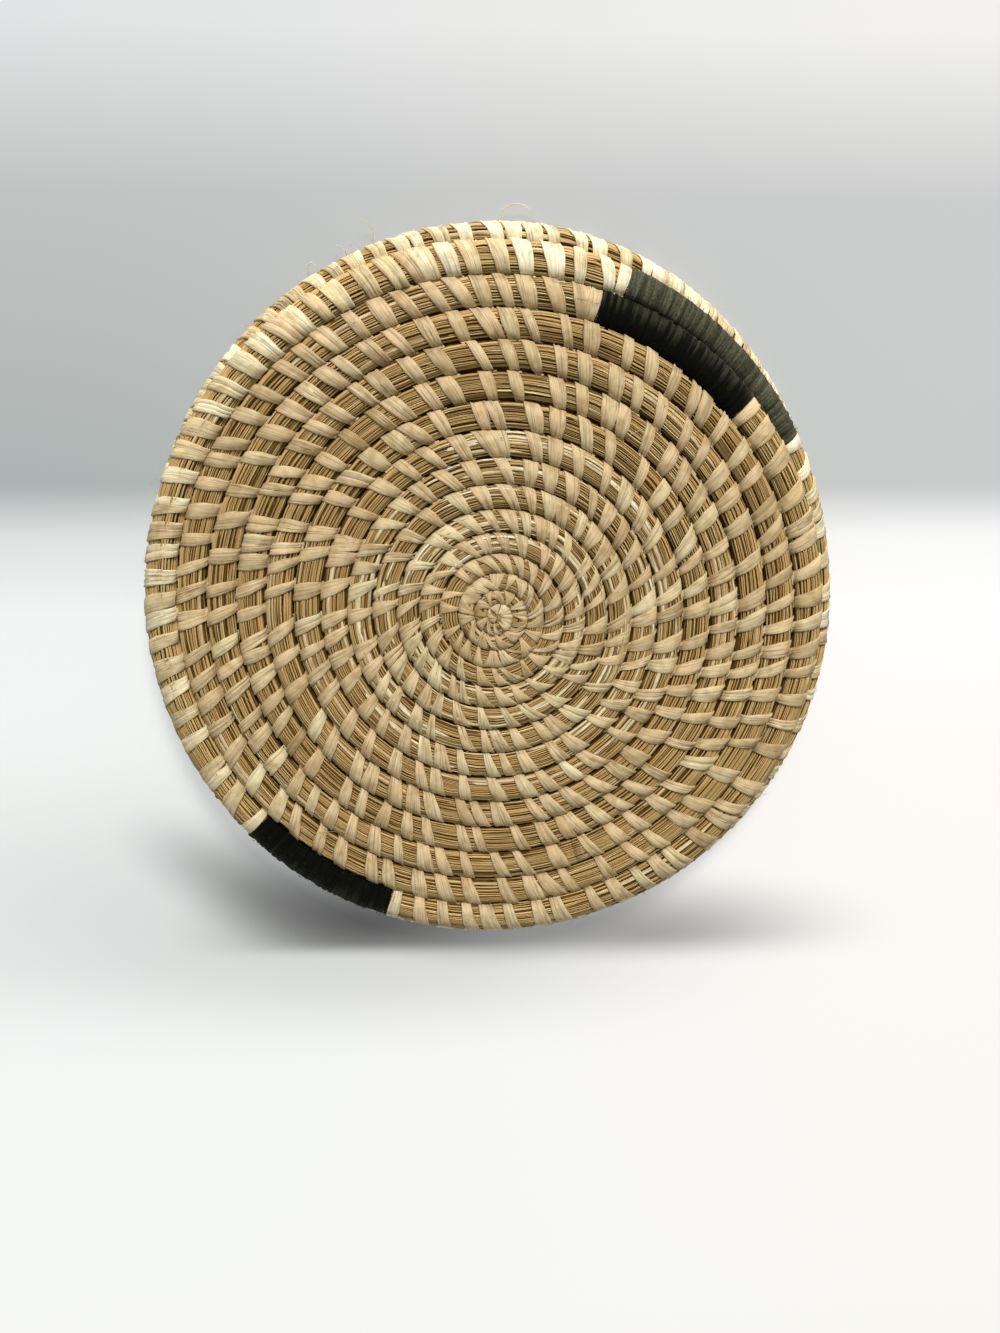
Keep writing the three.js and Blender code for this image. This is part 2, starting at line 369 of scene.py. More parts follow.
def addNode(tree, kind, settings=None, links=None):
    # settings are properties, sockets by name or number, or the stops of a colour ramp
    node = tree.nodes.new(kind)
    for key, value in (settings or {}).items():
        if key == "stops":
            setStops(node.color_ramp.elements, value)
        elif isinstance(key, str) and hasattr(node, key):
            setattr(node, key, value)
        else:
            node.inputs[key].default_value = value
    for key, output in (links or {}).items():
        tree.links.new(output, node.inputs[key])
    return node


def newMaterial(name):
    material = bpy.data.materials.new(name)
    material.use_nodes = True
    tree = material.node_tree
    return material, tree, tree.nodes["Principled BSDF"]


def grain(tree, length, width, detail):
    # noise drawn out along a piece's UV, with grains of this length and width in mm
    uv = addNode(tree, "ShaderNodeUVMap", {"uv_map": "along"})
    scale = {"Scale": (1000 / length, 1000 / width, 1)}
    place = addNode(tree, "ShaderNodeMapping", scale, {"Vector": uv.outputs["UV"]})
    settings = {"Scale": 1, "Detail": detail, "Roughness": 0.6}
    return addNode(tree, "ShaderNodeTexNoise", settings, {"Vector": place.outputs["Vector"]}).outputs["Fac"]


def clouds(tree, size, detail):  # noise through the object, with clouds of this size in mm
    place = addNode(tree, "ShaderNodeTexCoord").outputs["Object"]
    settings = {"Scale": 1000 / size, "Detail": detail}
    return addNode(tree, "ShaderNodeTexNoise", settings, {"Vector": place}).outputs["Fac"]


# Strips of dried palm leaf: matt, with fine lengthwise veins and a weathered, slightly uneven straw colour
leafLook = {
    "name": "driedPalmLeafStrip",
    "tones": [
        (0, "#ad9462"), (0.15, "#c3aa7b"), (0.35, "#d0b88c"), (0.5, "#d6c095"), (0.62, "#dbc198"),
        (0.7, "#d7c499"), (0.84, "#dfcea3"), (0.94, "#ece0bb"), (1, "#f7eecf"),
    ],
    # size in mm, detail, strength and shades of each pattern; the last one also gives the bump
    "patterns": [
        (1 / 0.26, 2, 0.7, [(0.3, "#d3c4a8"), (0.55, "#ffffff"), (0.8, "#fff6e0")]),  # weathering
        ((2.4, 0.5), 3, 0.6, [(0.3, 0.72), (0.5, 0.97), (0.7, 1.0)]),  # flecks
        ((14, 0.6), 3, 0.9, [(0.32, 0.45), (0.5, 0.94), (0.7, 1.0)]),  # veins, finer on a real strip
    ],
    "bump": {"Strength": 0.7, "Distance": 0.0003},
    "shader": {"Roughness": 0.62, "Specular IOR Level": 0.3},
}

# Dry grass stems: straw to brown, some grey-green or reddish, matt, their colour drifting along them
stemLook = {
    "name": "dryGrassStem",
    "tones": [
        (0, "#5c4624"), (0.1, "#957a48"), (0.32, "#ba9f6c"), (0.5, "#ceb07c"), (0.6, "#bfae7a"),
        (0.7, "#d1ad76"), (0.8, "#d9be88"), (0.93, "#e2d19f"), (1, "#eee3b6"),
    ],
    "patterns": [((20, 0.5), 4, 0.85, [(0.3, "#4c330f"), (0.43, "#efe4cb"), (0.66, "#ffffff")])],
    "bump": {"Strength": 0.4, "Distance": 0.0002},
    "shader": {"Roughness": 0.6, "Specular IOR Level": 0.15},
}

# Fibre dyed black: dull, with brown-green threads and a soft nap that catches light at the edges
blackLook = {
    "name": "blackDyedFibre",
    "tones": [(0, "#040502"), (0.5, "#0e1008"), (0.8, "#3b3c2d"), (1, "#6f6f5a")],
    "patterns": [
        (2 / 3, 2, 0.8, [(0.35, 0.45), (0.55, 0.9), (0.7, 1.0)]),  # nap
        ((6, 0.4), 3, 0.8, [(0.3, 0.3), (0.55, 0.85), (0.8, 1.0)]),  # threads
    ],
    "bump": {"Strength": 0.7, "Distance": 0.0003},
    "shader": {
        "Roughness": 0.9, "Specular IOR Level": 0.06, "Sheen Weight": 0.04, "Sheen Roughness": 0.4,
    },
}


def fibreMaterial(look):
    # each piece's own tone as a colour, times the shades of the patterns
    material, tree, shader = newMaterial(look["name"])
    tone = addNode(tree, "ShaderNodeAttribute", {"attribute_name": "tone"}).outputs["Fac"]
    base = addNode(tree, "ShaderNodeValToRGB", {"stops": look["tones"]}, {"Fac": tone}).outputs["Color"]
    for size, detail, strength, stops in look["patterns"]:
        noise = grain(tree, *size, detail) if isinstance(size, tuple) else clouds(tree, size, detail)
        shades = addNode(tree, "ShaderNodeValToRGB", {"stops": stops}, {"Fac": noise}).outputs["Color"]
        settings = {"data_type": "RGBA", "blend_type": "MULTIPLY", 0: strength}
        base = addNode(tree, "ShaderNodeMix", settings, {6: base, 7: shades}).outputs[2]
    bump = addNode(tree, "ShaderNodeBump", look["bump"], {"Height": noise})
    tree.links.new(base, shader.inputs["Base Color"])
    tree.links.new(bump.outputs["Normal"], shader.inputs["Normal"])
    for socket, value in look["shader"].items():
        shader.inputs[socket].default_value = value
    return material


# The inside of the bundle: the same grass in shade, given a dark brown colour as painted shade, brown where
# it shows between stems
insideLook = {
    "name": "shadedGrassInside",
    "pattern": (2.5, 3),
    "shades": [(0.3, "#372508"), (0.7, "#684c1e")],
    "shader": {"Roughness": 0.9, "Specular IOR Level": 0.05},
}


def insideMaterial():
    material, tree, shader = newMaterial(insideLook["name"])
    noise = clouds(tree, *insideLook["pattern"])
    shades = addNode(tree, "ShaderNodeValToRGB", {"stops": insideLook["shades"]}, {"Fac": noise})
    tree.links.new(shades.outputs["Color"], shader.inputs["Base Color"])
    for socket, value in insideLook["shader"].items():
        shader.inputs[socket].default_value = value
    return material


leafStrip = fibreMaterial(leafLook)
grassStem = fibreMaterial(stemLook)
blackFibre = fibreMaterial(blackLook)
bundleInside = insideMaterial()

# Stems: fine tubes laid round the bundle, all of them running the length of the coil
stems = {
    "seed": 11,
    "widthShare": (0.075, 0.17),  # of the bundle's radius
    "overlap": 1.25,  # times that, so that no gap is left
    "corners": (90, 208, 332),  # of a stem's section: its ridge stands out
    "waves": (45, 260),  # mm long: six for each stem, by which it strays, rises and swells
    "phases": 7,
    "wander": 2.5,  # degrees that each of three waves moves it round the bundle
    "rise": 1 / 12,  # mm that each of the other three moves it out or in
    "swell": 0.22,
    "hidden": 24,  # degrees to either side of a neighbour where no stem shows
    "wholeIn": ("baseStemsC", "cornerStems", "rimStems"),  # but it does in these, where turns part a little
    "sunkByBlock": 0.15,  # mm that the stems there lie deeper near a black block
    "groove": (10, 24),  # degrees from where two turns touch: stems lie deep up to the first, and their tone is darkened there as painted shade
    "grooveDepth": 0.5,
    "grooveShadePainted": 0.8,
    "tone": (0.5, 0.19),
    "toneRange": (0.02, 0.95),
    "toneLength": (50, 220),
    "paleShare": 0.05,
    "paleLength": (15, 45),
    "darkShare": 0.14,
    "darkLength": (15, 50),
    "staysDark": 0.1,  # tone up to which a stretch isn't shifted
    "targetTone": 0.74,  # that of a lighter, redder straw: the redder hue is the straw's own, the lightening painted light
    "toneShift": ([14.1, 14.6, 17, 18], [0, 0.6, 0.6, 0.2]),  # how far tones move there, by turn: the corner rows, lightened as painted light
    "grainAcross": (0.0004, 0, 0.0008),  # UV of the corners in metres
    "grainApart": 0.013,
    "core": 0.88,  # how far out the inside of the bundle reaches
    "coreBeside": 1.06,  # towards the turns beside it, as a share of half the room between them
    "coreEdge": 8,  # the higher, the narrower that edge
    "coreSides": 12,
}


def layStems():
    rng = np.random.default_rng(stems["seed"])
    widths = []
    while sum(widths) < 2 * np.pi:
        widths.append(rng.uniform(*stems["widthShare"]))
    widths = np.array(widths) * 2 * np.pi / sum(widths)
    places = np.degrees(np.cumsum(widths) - widths / 2)
    made = []
    for width, place in zip(widths, places):
        waves = []
        for _ in range(6):
            wave, phase = rng.uniform(*stems["waves"]), rng.uniform(0, stems["phases"])
            waves.append(np.sin(lengthAt * 2 * np.pi / wave + phase))
        tone, at = np.zeros_like(lengthAt), 0.0
        while at < lengthAt[-1]:
            reach = rng.uniform(*stems["toneLength"])
            value = np.clip(rng.normal(*stems["tone"]), *stems["toneRange"])
            if rng.random() < stems["paleShare"]:
                value, reach = 1.0, rng.uniform(*stems["paleLength"])
            elif rng.random() < stems["darkShare"]:
                value, reach = 0.0, rng.uniform(*stems["darkLength"])
            tone[(lengthAt >= at) & (lengthAt < at + reach)] = value
            at += reach
        # painted light: on the corner rows, tones move towards a lighter, redder straw
        toneShift = np.interp(stations, *stems["toneShift"]) * (tone > stems["staysDark"])
        made.append(
            {
                "width": width,
                "place": place,
                "around": place + stems["wander"] * (waves[0] + waves[1] + waves[2]),
                "rise": stems["rise"] * (waves[3] + waves[4] + waves[5]),
                "size": 1 + stems["swell"] * waves[1] * waves[4],
                "tone": tone + toneShift * (stems["targetTone"] - tone),
            }
        )
    return made


allStems = layStems()


def stemPiece(name, first, last, nodes):
    here = stationsWithin(first, last)
    turn = stations[here]
    bend = coilAt(turn, "bend")
    corner, sides = np.radians(stems["corners"]), len(stems["corners"])
    points, tones, uv = [], [], []
    for number, stem in enumerate(allStems):
        beside = min(abs(stem["place"] - 90), abs(stem["place"] - 270)) < stems["hidden"]
        if beside and name not in stems["wholeIn"]:
            continue
        around = stem["around"][here]
        reach = skin(turn, around)
        radius = reach * stem["width"] / 2 * stem["size"][here] * stems["overlap"]
        out = reach - radius + stem["rise"][here] * np.minimum(1, reach / coil["slender"])
        if beside:
            out -= np.where(nearBands(turn), stems["sunkByBlock"], 0)
        fromNext = np.where(turn < coil["turns"] - 1, np.abs(around - 90 - bend), 180)
        fromTouch = np.minimum(fromNext, np.abs(around - 270 + bend))
        deep = np.interp(fromTouch, stems["groove"], [1, 0])
        out -= deep * stems["grooveDepth"]
        turned = around[:, None] + np.degrees(radius / reach)[:, None] * np.cos(corner)
        points.append(onCoil(turn[:, None], turned, out[:, None] + radius[:, None] * np.sin(corner)))
        # painted shade: stems deep in the groove between two turns get a darker tone
        tones.append(np.repeat(stem["tone"][here] * (1 - stems["grooveShadePainted"] * deep), sides))
        along = np.repeat(lengthAt[here], sides) / 1000
        across = np.tile(np.array(stems["grainAcross"]) + number * stems["grainApart"], len(turn))
        uv.append(np.stack([along, across], -1))
    faces = tubeFaces(len(points), len(turn), sides)
    points, tones, uv = np.stack(points), np.concatenate(tones), np.concatenate(uv)
    meshPiece(name, points, faces, grassStem, nodes, tones, uv)


def corePiece(name, first, last, nodes):
    turn = stations[stationsWithin(first, last)][:, None]
    sides = stems["coreSides"]
    around = np.arange(sides) * -360 / sides
    aside = np.sin(np.radians(around))
    around = around + coilAt(turn, "bend") * aside  # so that two of the edges point to the turns beside it
    toNext = coilAt(turn, "half") * stems["coreBeside"]
    touching = np.where((aside < 0) | (turn < coil["turns"] - 1), aside ** stems["coreEdge"], 0)
    out = stems["core"] * skin(turn, around) * (1 - touching) + toNext * touching
    points, faces = onCoil(turn, around, out), tubeFaces(1, len(turn), sides)
    meshPiece(name, points, faces, bundleInside, nodes)


# The lengths of the coil: name, slot, node, first and last turn, and where the stems are cut into pieces
runs = [
    ("base", "grass_coil", "base_coil", coil["firstTurn"], coil["lastFlatTurn"], [9.2, 12.2]),
    ("corner", "grass_coil", "corner_coil", coil["lastFlatTurn"], 16.25, []),
    ("wall", "grass_coil", "wall_coil", 16.25, coil["turns"] - 1, [18.2, 20.1]),
    ("rim", "rim_coil", "rim_coil", coil["turns"] - 1, coil["turns"], []),
]
for runName, slotName, node, first, last, cuts in runs:
    corePiece(f"{runName}Core", first, last, [node])
    ends = [first, *cuts, last]
    for i in range(len(ends) - 1):
        part = "ABC"[i] if cuts else ""
        stemPiece(f"{runName}Stems{part}", ends[i], ends[i + 1], [node])
print("stems laid:", len(allStems), "by", len(stations))

# The tuft of grass ends that the coil starts from, in the middle of the knot
heart = {"radius": 2.1, "height": 2.7, "tone": 0.4}


def knotHeart():
    bpy.ops.mesh.primitive_ico_sphere_add(subdivisions=3, radius=heart["radius"] / 1000)
    tuft = bpy.context.object
    tuft.name = tuft.data.name = "knotHeart"
    tuft.location = Vector((*coil["knotPlace"], heart["height"])) / 1000
    bpy.ops.object.transform_apply(location=True)
    tuft.data.materials.append(grassStem)
    tuft.data.uv_layers[0].name = "along"
    tones = [heart["tone"]] * len(tuft.data.vertices)
    tuft.data.attributes.new("tone", "FLOAT", "POINT").data.foreach_set("value", tones)
    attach(tuft, "root")
    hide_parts("centre_knot")
    bpy.ops.object.select_all(action="DESELECT")


knotHeart()

# One strip, modelled straight and flat, of which every stitch is a copy that follows its own path
strap = {
    # turn (-1 is the one before, and -0.5 between the two), around, share of the skin, lift in
    # thicknesses, place on the lean, share of the width and the same near the middle, in wedges
    "outside": [
        (-1, 78, 0.66, -0.5, -0.04, 0.8, 0.5),
        (-1, 68, 0.98, -0.2, 0.00, 1.1, 0.6),
        (-0.5, 0, 1.00, -0.4, 0.05, 1.2, 0.8),
        (0, -60, 1.00, 0.15, 0.13, 0.82, 0.52),
        (0, -46, 1.00, 0.2, 0.21, 0.89, 0.59),
        (0, -32, 1.00, 0.2, 0.29, 0.96, 0.66),
        (0, -4, 1.00, 0.2, 0.47, 1.08, 0.86),
        (0, 28, 1.00, 0.2, 0.65, 1.03, 1.06),
        (0, 58, 1.00, 0.2, 0.83, 0.92, 1.22),
        (0, 89, 1.00, 0.1, 1.00, 0.76, 1.25),
    ],
    "inside": [
        (0, 120, 1.00, 0.2, 0.10, 0.92, 0.92),
        (0, 156, 1.00, 0.2, 0.30, 1.00, 1.00),
        (0, 194, 1.00, 0.2, 0.52, 1.00, 1.00),
        (0, 230, 1.00, 0.2, 0.72, 0.88, 0.88),
        (-0.5, 180, 1.00, 0.2, 0.86, 1.15, 1.15),
        (-1, 137, 1.00, 0.1, 0.97, 1.0, 1.0),
        (-1, 120, 0.62, -0.5, 1.00, 0.8, 0.8),
    ],
    "crossing": ((77, -77), (116, 246)),  # around on the two turns that -0.5 is between, outside and inside
    "followBend": (0, 0, 0.8, 0.8, 0.65, 0.48, 0.22),  # how far the rings outside move on a row that tilts
    "bendLift": 0.02,  # and how much farther out they are, in thicknesses for each degree
    "holeShare": 0.4,  # how far apart the strands of one stitch are where they enter one hole
    "fanning": 1.4,  # how soon they have parted
    "wedges": ([20, 62], [1, 0]),  # how much it is a wedge, by the turn's radius
    "grainApart": (37.1, 11.3),  # UV in metres for a tone of 1, so that no two strips have the same veins
    "corners": 8,
    "shoulders": (1, 1.2, 1.24),
    "underside": 0.45,
}


def pickVertices(mesh, test):  # selects the vertices in edit mode whose places pass the test
    edited = bmesh.from_edit_mesh(mesh)
    bpy.ops.mesh.select_all(action="DESELECT")
    for vertex in edited.verts:
        vertex.select = test(vertex.co)
    edited.select_flush(True)
    bmesh.update_edit_mesh(mesh)


def modelStrip(rings):
    # Along X, a unit to a ring; 2 wide on Y and 1 thick on Z
    bpy.ops.mesh.primitive_circle_add(
        vertices=strap["corners"], radius=1, fill_type="NGON", rotation=(math.pi / 2, 0, math.pi / 2)
    )
    strip = bpy.context.object
    bpy.ops.object.transform_apply(rotation=True)
    bpy.ops.object.mode_set(mode="EDIT")
    pickVertices(strip.data, lambda at: at.z < -0.1)  # the lower corners, which become one
    bpy.ops.mesh.merge(type="CENTER")
    bpy.ops.transform.resize(value=(1, 1, strap["underside"]), center_override=(0, 0, 0))
    pickVertices(strip.data, lambda at: 0.5 < at.z < 0.9)  # the two beside the top
    bpy.ops.transform.resize(value=strap["shoulders"], center_override=(0, 0, 0))
    bpy.ops.mesh.select_all(action="SELECT")
    for _ in range(rings - 1):
        bpy.ops.mesh.extrude_region_move(TRANSFORM_OT_translate={"value": (1, 0, 0)})
    bpy.ops.mesh.select_all(action="SELECT")
    bpy.ops.mesh.normals_make_consistent(inside=False)
    bpy.ops.object.mode_set(mode="OBJECT")
    places = np.array([vertex.co for vertex in strip.data.vertices])
    around = np.arctan2(places[:, 2] - 0.1, places[:, 1])  # from a point inside the section
    order = np.lexsort((around, np.round(places[:, 0])))
    number = np.argsort(order)
    sides = len(places) // rings
    # the faces are turned round, as across runs along the coil and so the other way about, and sorted
    faces = [number[list(face.vertices)][::-1] for face in strip.data.polygons]
    faces = sorted(np.roll(face, -face.argmin()).tolist() for face in faces)
    shape = {
        "rings": rings,
        "sides": sides,
        "across": places[order][:sides, 1],
        "up": places[order][:sides, 2],
        "quads": np.array([face for face in faces if len(face) == 4]),
        "ends": np.array([face for face in faces if len(face) == sides]),
    }
    bpy.data.objects.remove(strip)
    return shape


strip = modelStrip(len(strap["outside"]) + len(strap["inside"]))


def creased(places, heights):
    # each strip's own section: the middle of its upper side is moved across and up or down
    middle = (np.abs(strip["across"]) < 0.1) & (strip["up"] > 0.5)
    across = strip["across"] + np.where(middle, np.asarray(places)[:, None], 0)
    up = np.where(middle, np.asarray(heights)[:, None], strip["up"])
    return across, up


def sewStraps(turn, width, thickness, lean, insideLean, shift, bite, tip, over, section):
    # arrays by strap; gives points by strap, ring and side with their UVs in metres
    n = len(turn)
    across, up = section
    points = np.zeros((n, strip["rings"], strip["sides"], 3))
    uv = np.zeros((n, strip["rings"], strip["sides"], 2))

    def place(row, around, share, lift, offset, wide):
        radial = coilAt(turn + row, "radius")
        side = offset[:, None] + across * (width * wide / 2)[:, None]
        at = (turn + row)[:, None] + side / (2 * np.pi * np.maximum(radial, coil["axisRoom"]))[:, None]
        around = np.broadcast_to(around, (n,))[:, None]
        raised = (lift + up) * thickness[:, None] + (over[:, None] if row else 0)
        return onCoil(at, around, skin(at, around) * share + raised)

    wedge = np.interp(coilAt(turn, "radius"), *strap["wedges"])
    bend = coilAt(turn, "bend")
    for i, ring in enumerate(strap["outside"] + strap["inside"]):
        row, around, share, lift, along, wide, wedgeWide = ring
        outside = i < len(strap["outside"])
        moved = bend * strap["followBend"][i] if i < len(strap["followBend"]) else 0 * bend
        offset = -lean / 2 + lean * along if outside else lean / 2 + (insideLean - lean / 2) * along
        parted = min(1, strap["fanning"] * (along if outside else 1 - along))
        offset = offset + shift * (strap["holeShare"] + (1 - strap["holeShare"]) * parted)
        wide = (wide + (wedgeWide - wide) * wedge) * (tip if row else 1)
        if row == -1:
            points[:, i] = place(-1, around + (bite if outside else -bite), share, lift, offset, wide)
        elif row == -0.5:
            near, far = strap["crossing"][0 if outside else 1]
            leaving = place(-1, near, 1, lift, offset, wide)
            points[:, i] = (leaving + place(0, far - moved, 1, lift, offset, wide)) / 2
        else:
            raised = lift + strap["bendLift"] * moved[:, None]
            points[:, i] = place(0, around - moved, share, raised, offset, wide)
        uv[:, i, :, 1] = across * (width * wide / 2)[:, None] / 1000
    steps = np.linalg.norm(np.diff(points.mean(2), axis=1), axis=2)
    uv[:, 1:, :, 0] = (steps.cumsum(1) / 1000)[:, :, None]
    return points, uv


def strapPiece(name, sets, material, nodes, ringTones=0.0):
    # sets of straps: points, UVs and a tone for each strap; ringTones are added along every one
    points = np.concatenate([s[0].reshape(-1, 3) for s in sets])
    tones = np.concatenate([s[2] for s in sets])
    apart = (tones[:, None] * strap["grainApart"])[:, None, None, :]
    uv = np.concatenate([s[1] for s in sets]) + apart
    step = (np.arange(len(tones)) * strip["rings"] * strip["sides"])[:, None, None]
    faces = [(strip["quads"] + step).reshape(-1, 4), (strip["ends"] + step).reshape(-1, strip["sides"])]
    tones = np.clip(tones[:, None] + ringTones + np.zeros(strip["rings"]), 0, 1)
    meshPiece(name, points, faces, material, nodes, np.repeat(tones, strip["sides"]), uv)


def sewNatural():
    rng = np.random.default_rng(sewing["looksSeed"])
    turn, n = stitchTurn, len(stitchTurn)
    radial = coilAt(turn, "radius")
    width = rng.uniform(*sewing["width"], n) * np.interp(radial, *sewing["slimmer"])
    width *= np.where(turn > sewing["wallFrom"], sewing["wallWider"], 1)
    width[stitchCloses] = sewing["closingWidth"]
    width[stitchOver & ~stitchCloses] *= sewing["overNarrower"]
    thickness = rng.uniform(*sewing["thickness"], n) * np.interp(radial, *sewing["thinner"])
    lean = sewing["lean"] * rng.normal(1, sewing["leanSpread"], n) * np.interp(radial, *sewing["leansLess"])
    lean[stitchCloses] *= sewing["closingLean"]
    insideLean = sewing["insideLean"] * rng.normal(1, sewing["insideSpread"], n)
    bite = rng.uniform(*sewing["bite"], n)
    tone = rng.normal(*sewing["tone"], n) + sewing["closingPaler"] * stitchCloses
    # painted light: strips on the corner rows get a lighter tone
    tone = np.clip(tone, *sewing["toneRange"]) + np.interp(turn, *sewing["brighter"])
    tip = np.interp(radial, *sewing["tip"]) * rng.uniform(*sewing["tipSpread"], n)
    creasePlace = rng.uniform(*sewing["creasePlace"], n)
    creaseHeight = rng.uniform(*sewing["creaseHeight"], n)
    over = np.where(stitchOver, sewing["overLift"], 0.0)
    kind = rng.random(n)
    rough, roughly = np.interp(radial, *sewing["rough"]), sewing["roughly"]
    lean *= 1 + roughly["lean"] * rough * rng.normal(0, 1, n)
    bite += rough * rng.uniform(-roughly["bite"], roughly["bite"], n)
    thickness *= 1 + roughly["thickness"] * rough * rng.random(n)
    width *= 1 + roughly["width"] * rough * rng.normal(0, 1, n)
    tone -= rough * rng.uniform(0, roughly["tone"], n)
    tone += np.interp(radial, *sewing["toneShift"])
    more = np.interp(turn, *sewing["moreStrands"])
    doubled = kind < more * sewing["doubled"]
    doubled |= stitchOver & (kind < sewing["overDoubled"])
    split = ~doubled & (kind > 1 - more * sewing["split"])
    doubled[stitchCloses] = split[stitchCloses] = False
    strayAlong, strayBite, strayTone = sewing["stray"]
    sets = []

    def sew(picked, widthShare, shift, leanShare, paler):
        m = picked.nonzero()[0]
        made, uv = sewStraps(
            turn[m],
            width[m] * widthShare,
            thickness[m],
            lean[m] * leanShare,
            insideLean[m],
            shift * width[m] + rng.uniform(-strayAlong, strayAlong, len(m)),
            bite[m] + rng.uniform(-strayBite, strayBite, len(m)),
            tip[m],
            over[m],
            creased(creasePlace[m], creaseHeight[m]),
        )
        own = tone[m] + paler + rng.normal(0, strayTone, len(m))
        sets.append((turn[m], made, uv, np.clip(own, 0, np.interp(turn[m], *sewing["palest"]))))

    for picked, strands in ((~doubled & ~split, "inOne"), (doubled, "inTwo"), (split, "inThree")):
        for strand in sewing[strands]:
            sew(picked, *strand)
    return sets


naturalSets = sewNatural()
for runName, slotName, node, first, last, cuts in runs:
    parts = []
    for turn, made, uv, tone in naturalSets:
        here = (turn >= first) & (turn < last)
        parts.append((made[here], uv[here], tone[here]))
    nodes = [node, "centre_knot"] if runName == "base" else [node]
    strapPiece(f"{runName}Sewing", parts, leafStrip, nodes)
print("strips sewn:", sum(len(s[0]) for s in naturalSets))

# The knot: the first turn wrapped closely, a bright fan round the middle
knot = {
    "seed": 5,
    "first": 0.85,
    "last": 1.15,
    "pitch": 1.05,
    "uneven": (0.85, 1.15),
    "width": (1.25, 1.7),
    "thickness": 0.32,
    "from": -100,  # around at a strip's start
    "step": 22.5,  # degrees from ring to ring
    "lean": 0.3,  # mm along the coil in 90 degrees, one way or the other
    "creasePlace": (-0.3, 0.3),
    "creaseHeight": (0.8, 1.2),
    "tone": (0.8, 0.12),
    "grainAlong": 0.00003,  # UV in metres for a degree
}


def knotPiece():
    rng = np.random.default_rng(knot["seed"])
    turns, turn = [], knot["first"]
    while turn < knot["last"]:
        turns.append(turn)
        turn += turnsFor(knot["pitch"] * rng.uniform(*knot["uneven"]), turn)
    turns = np.array(turns)
    n = len(turns)
    around = knot["from"] + np.arange(strip["rings"]) * knot["step"]
    half = rng.uniform(*knot["width"], n)[:, None, None] / 2
    across, up = creased(rng.uniform(*knot["creasePlace"], n), rng.uniform(*knot["creaseHeight"], n))
    leaning = rng.uniform(-knot["lean"], knot["lean"], (n, 1)) * around / 90
    side = across[:, None, :] * half + leaning[:, :, None]
    at = turns[:, None, None] + turnsFor(side, turns[:, None, None])
    turned = np.broadcast_to(around[None, :, None], at.shape)
    points = onCoil(at, turned, skin(at, turned) + up[:, None, :] * knot["thickness"])
    uv = np.stack(np.broadcast_arrays(turned * knot["grainAlong"], across[:, None, :] * half / 1000), -1)
    tones = np.clip(rng.normal(*knot["tone"], n), 0, 1)
    strapPiece("knotWrapping", [(points, uv, tones)], leafStrip, ["centre_knot"])


knotPiece()

# Black fibre: one thread against the next, some biting into the turn before
wrapping = {
    "seed": 100,
    "pitch": 0.98,
    "width": (1.25, 1.7),
    "thickness": (0.55, 0.8),
    "lean": -0.9,
    "leanSpread": 0.2,
    "insideLean": 1.2,
    "shift": 0.12,
    "tip": (0.75, 1.0),
    "creasePlace": (-0.3, 0.3),
    "creaseHeight": (0.8, 1.15),
    "overLift": 0.5,
    "biting": (0.12, 0.5),  # share of the threads that show their ends on the turn before, by block
    "bite": (-14, 2),  # degrees farther round that turn, for those and for the others
    "biteSpread": (-6, 8),
    "fresh": (0, 0.45),  # tones on the base, and beyond it, lighter and greyer there as painted light
    "paintedLighter": (0.8, 0.96),
    # tone added ring by ring on the base: a painted highlight on the ridge, strongest on its side towards
    # the next turn
    "rubbed": [0, 0, 0, 0, 0, 0.05, 0.2, 0.38, 0.4, 0.15] + [0.1] * 7,
}


def wrapPiece(name, first, last, seed):
    rng = np.random.default_rng(seed)
    n = int(round((last - first) / turnsFor(1, first) / wrapping["pitch"]))
    turn = first + (np.arange(n) + 0.5) / n * (last - first)
    bite = np.where(rng.random(n) < wrapping["biting"]["b" in name], *wrapping["bite"])
    bite = bite + rng.uniform(*wrapping["biteSpread"], n)
    made, uv = sewStraps(
        turn,
        rng.uniform(*wrapping["width"], n),
        rng.uniform(*wrapping["thickness"], n),
        wrapping["lean"] * rng.normal(1, wrapping["leanSpread"], n),
        np.full(n, wrapping["insideLean"]),
        rng.normal(0, wrapping["shift"], n),
        bite,
        rng.uniform(*wrapping["tip"], n),
        np.where(inBands(turn - 1), wrapping["overLift"], 0.0),
        creased(rng.uniform(*wrapping["creasePlace"], n), rng.uniform(*wrapping["creaseHeight"], n)),
    )
    # the blocks beyond the base get lighter, greyer tones as painted light
    paintedLighter = first > coil["lastFlatTurn"]
    tones = rng.uniform(*wrapping["paintedLighter" if paintedLighter else "fresh"], n)
    # on the base, the painted highlight is added ring by ring along each thread
    ringTones = 0.0 if paintedLighter else np.array(wrapping["rubbed"])
    nodes = [f"black_wrap_{name}"]
    strapPiece(f"blackWrap{name}", [(made, uv, tones)], blackFibre, nodes, ringTones)


for number, (name, first, last) in enumerate(allBands):
    wrapPiece(name, first, last, wrapping["seed"] + number)
print("black blocks wrapped:", len(allBands))

# Ribbons: flat blades among the stems, paler than they are
ribbons = {
    "seed": 41,
    "count": 320,
    "rings": 10,
    "width": (0.6, 1.5),
    "thickness": 0.12,  # from the middle of a blade to its face
    "lift": 0.15,  # times that
    "across": (1, 0.4, -0.4, -1, 0),  # the section's corners
    "up": (0, 0.9, 1, 0.1, -1),
    "taper": 7,  # how soon a blade has its full width
    "tipWidth": 0.12,
    "fromEnds": (30, 60),
    "outsideShare": 0.62,
    "outside": (-62, 62),
    "inside": (118, 242),
    "drift": 9,  # degrees from end to end
    "length": (12, 55),
    "tone": (0.3, 0.85),
    "bright": 0.36,  # share of brighter ones, on the middle rows of the base
    "brightTurns": (4.5, 9.5),
    "brightLength": (6, 26),
    "brightTone": (0.75, 1.0),
    "grainApart": 0.7,
}


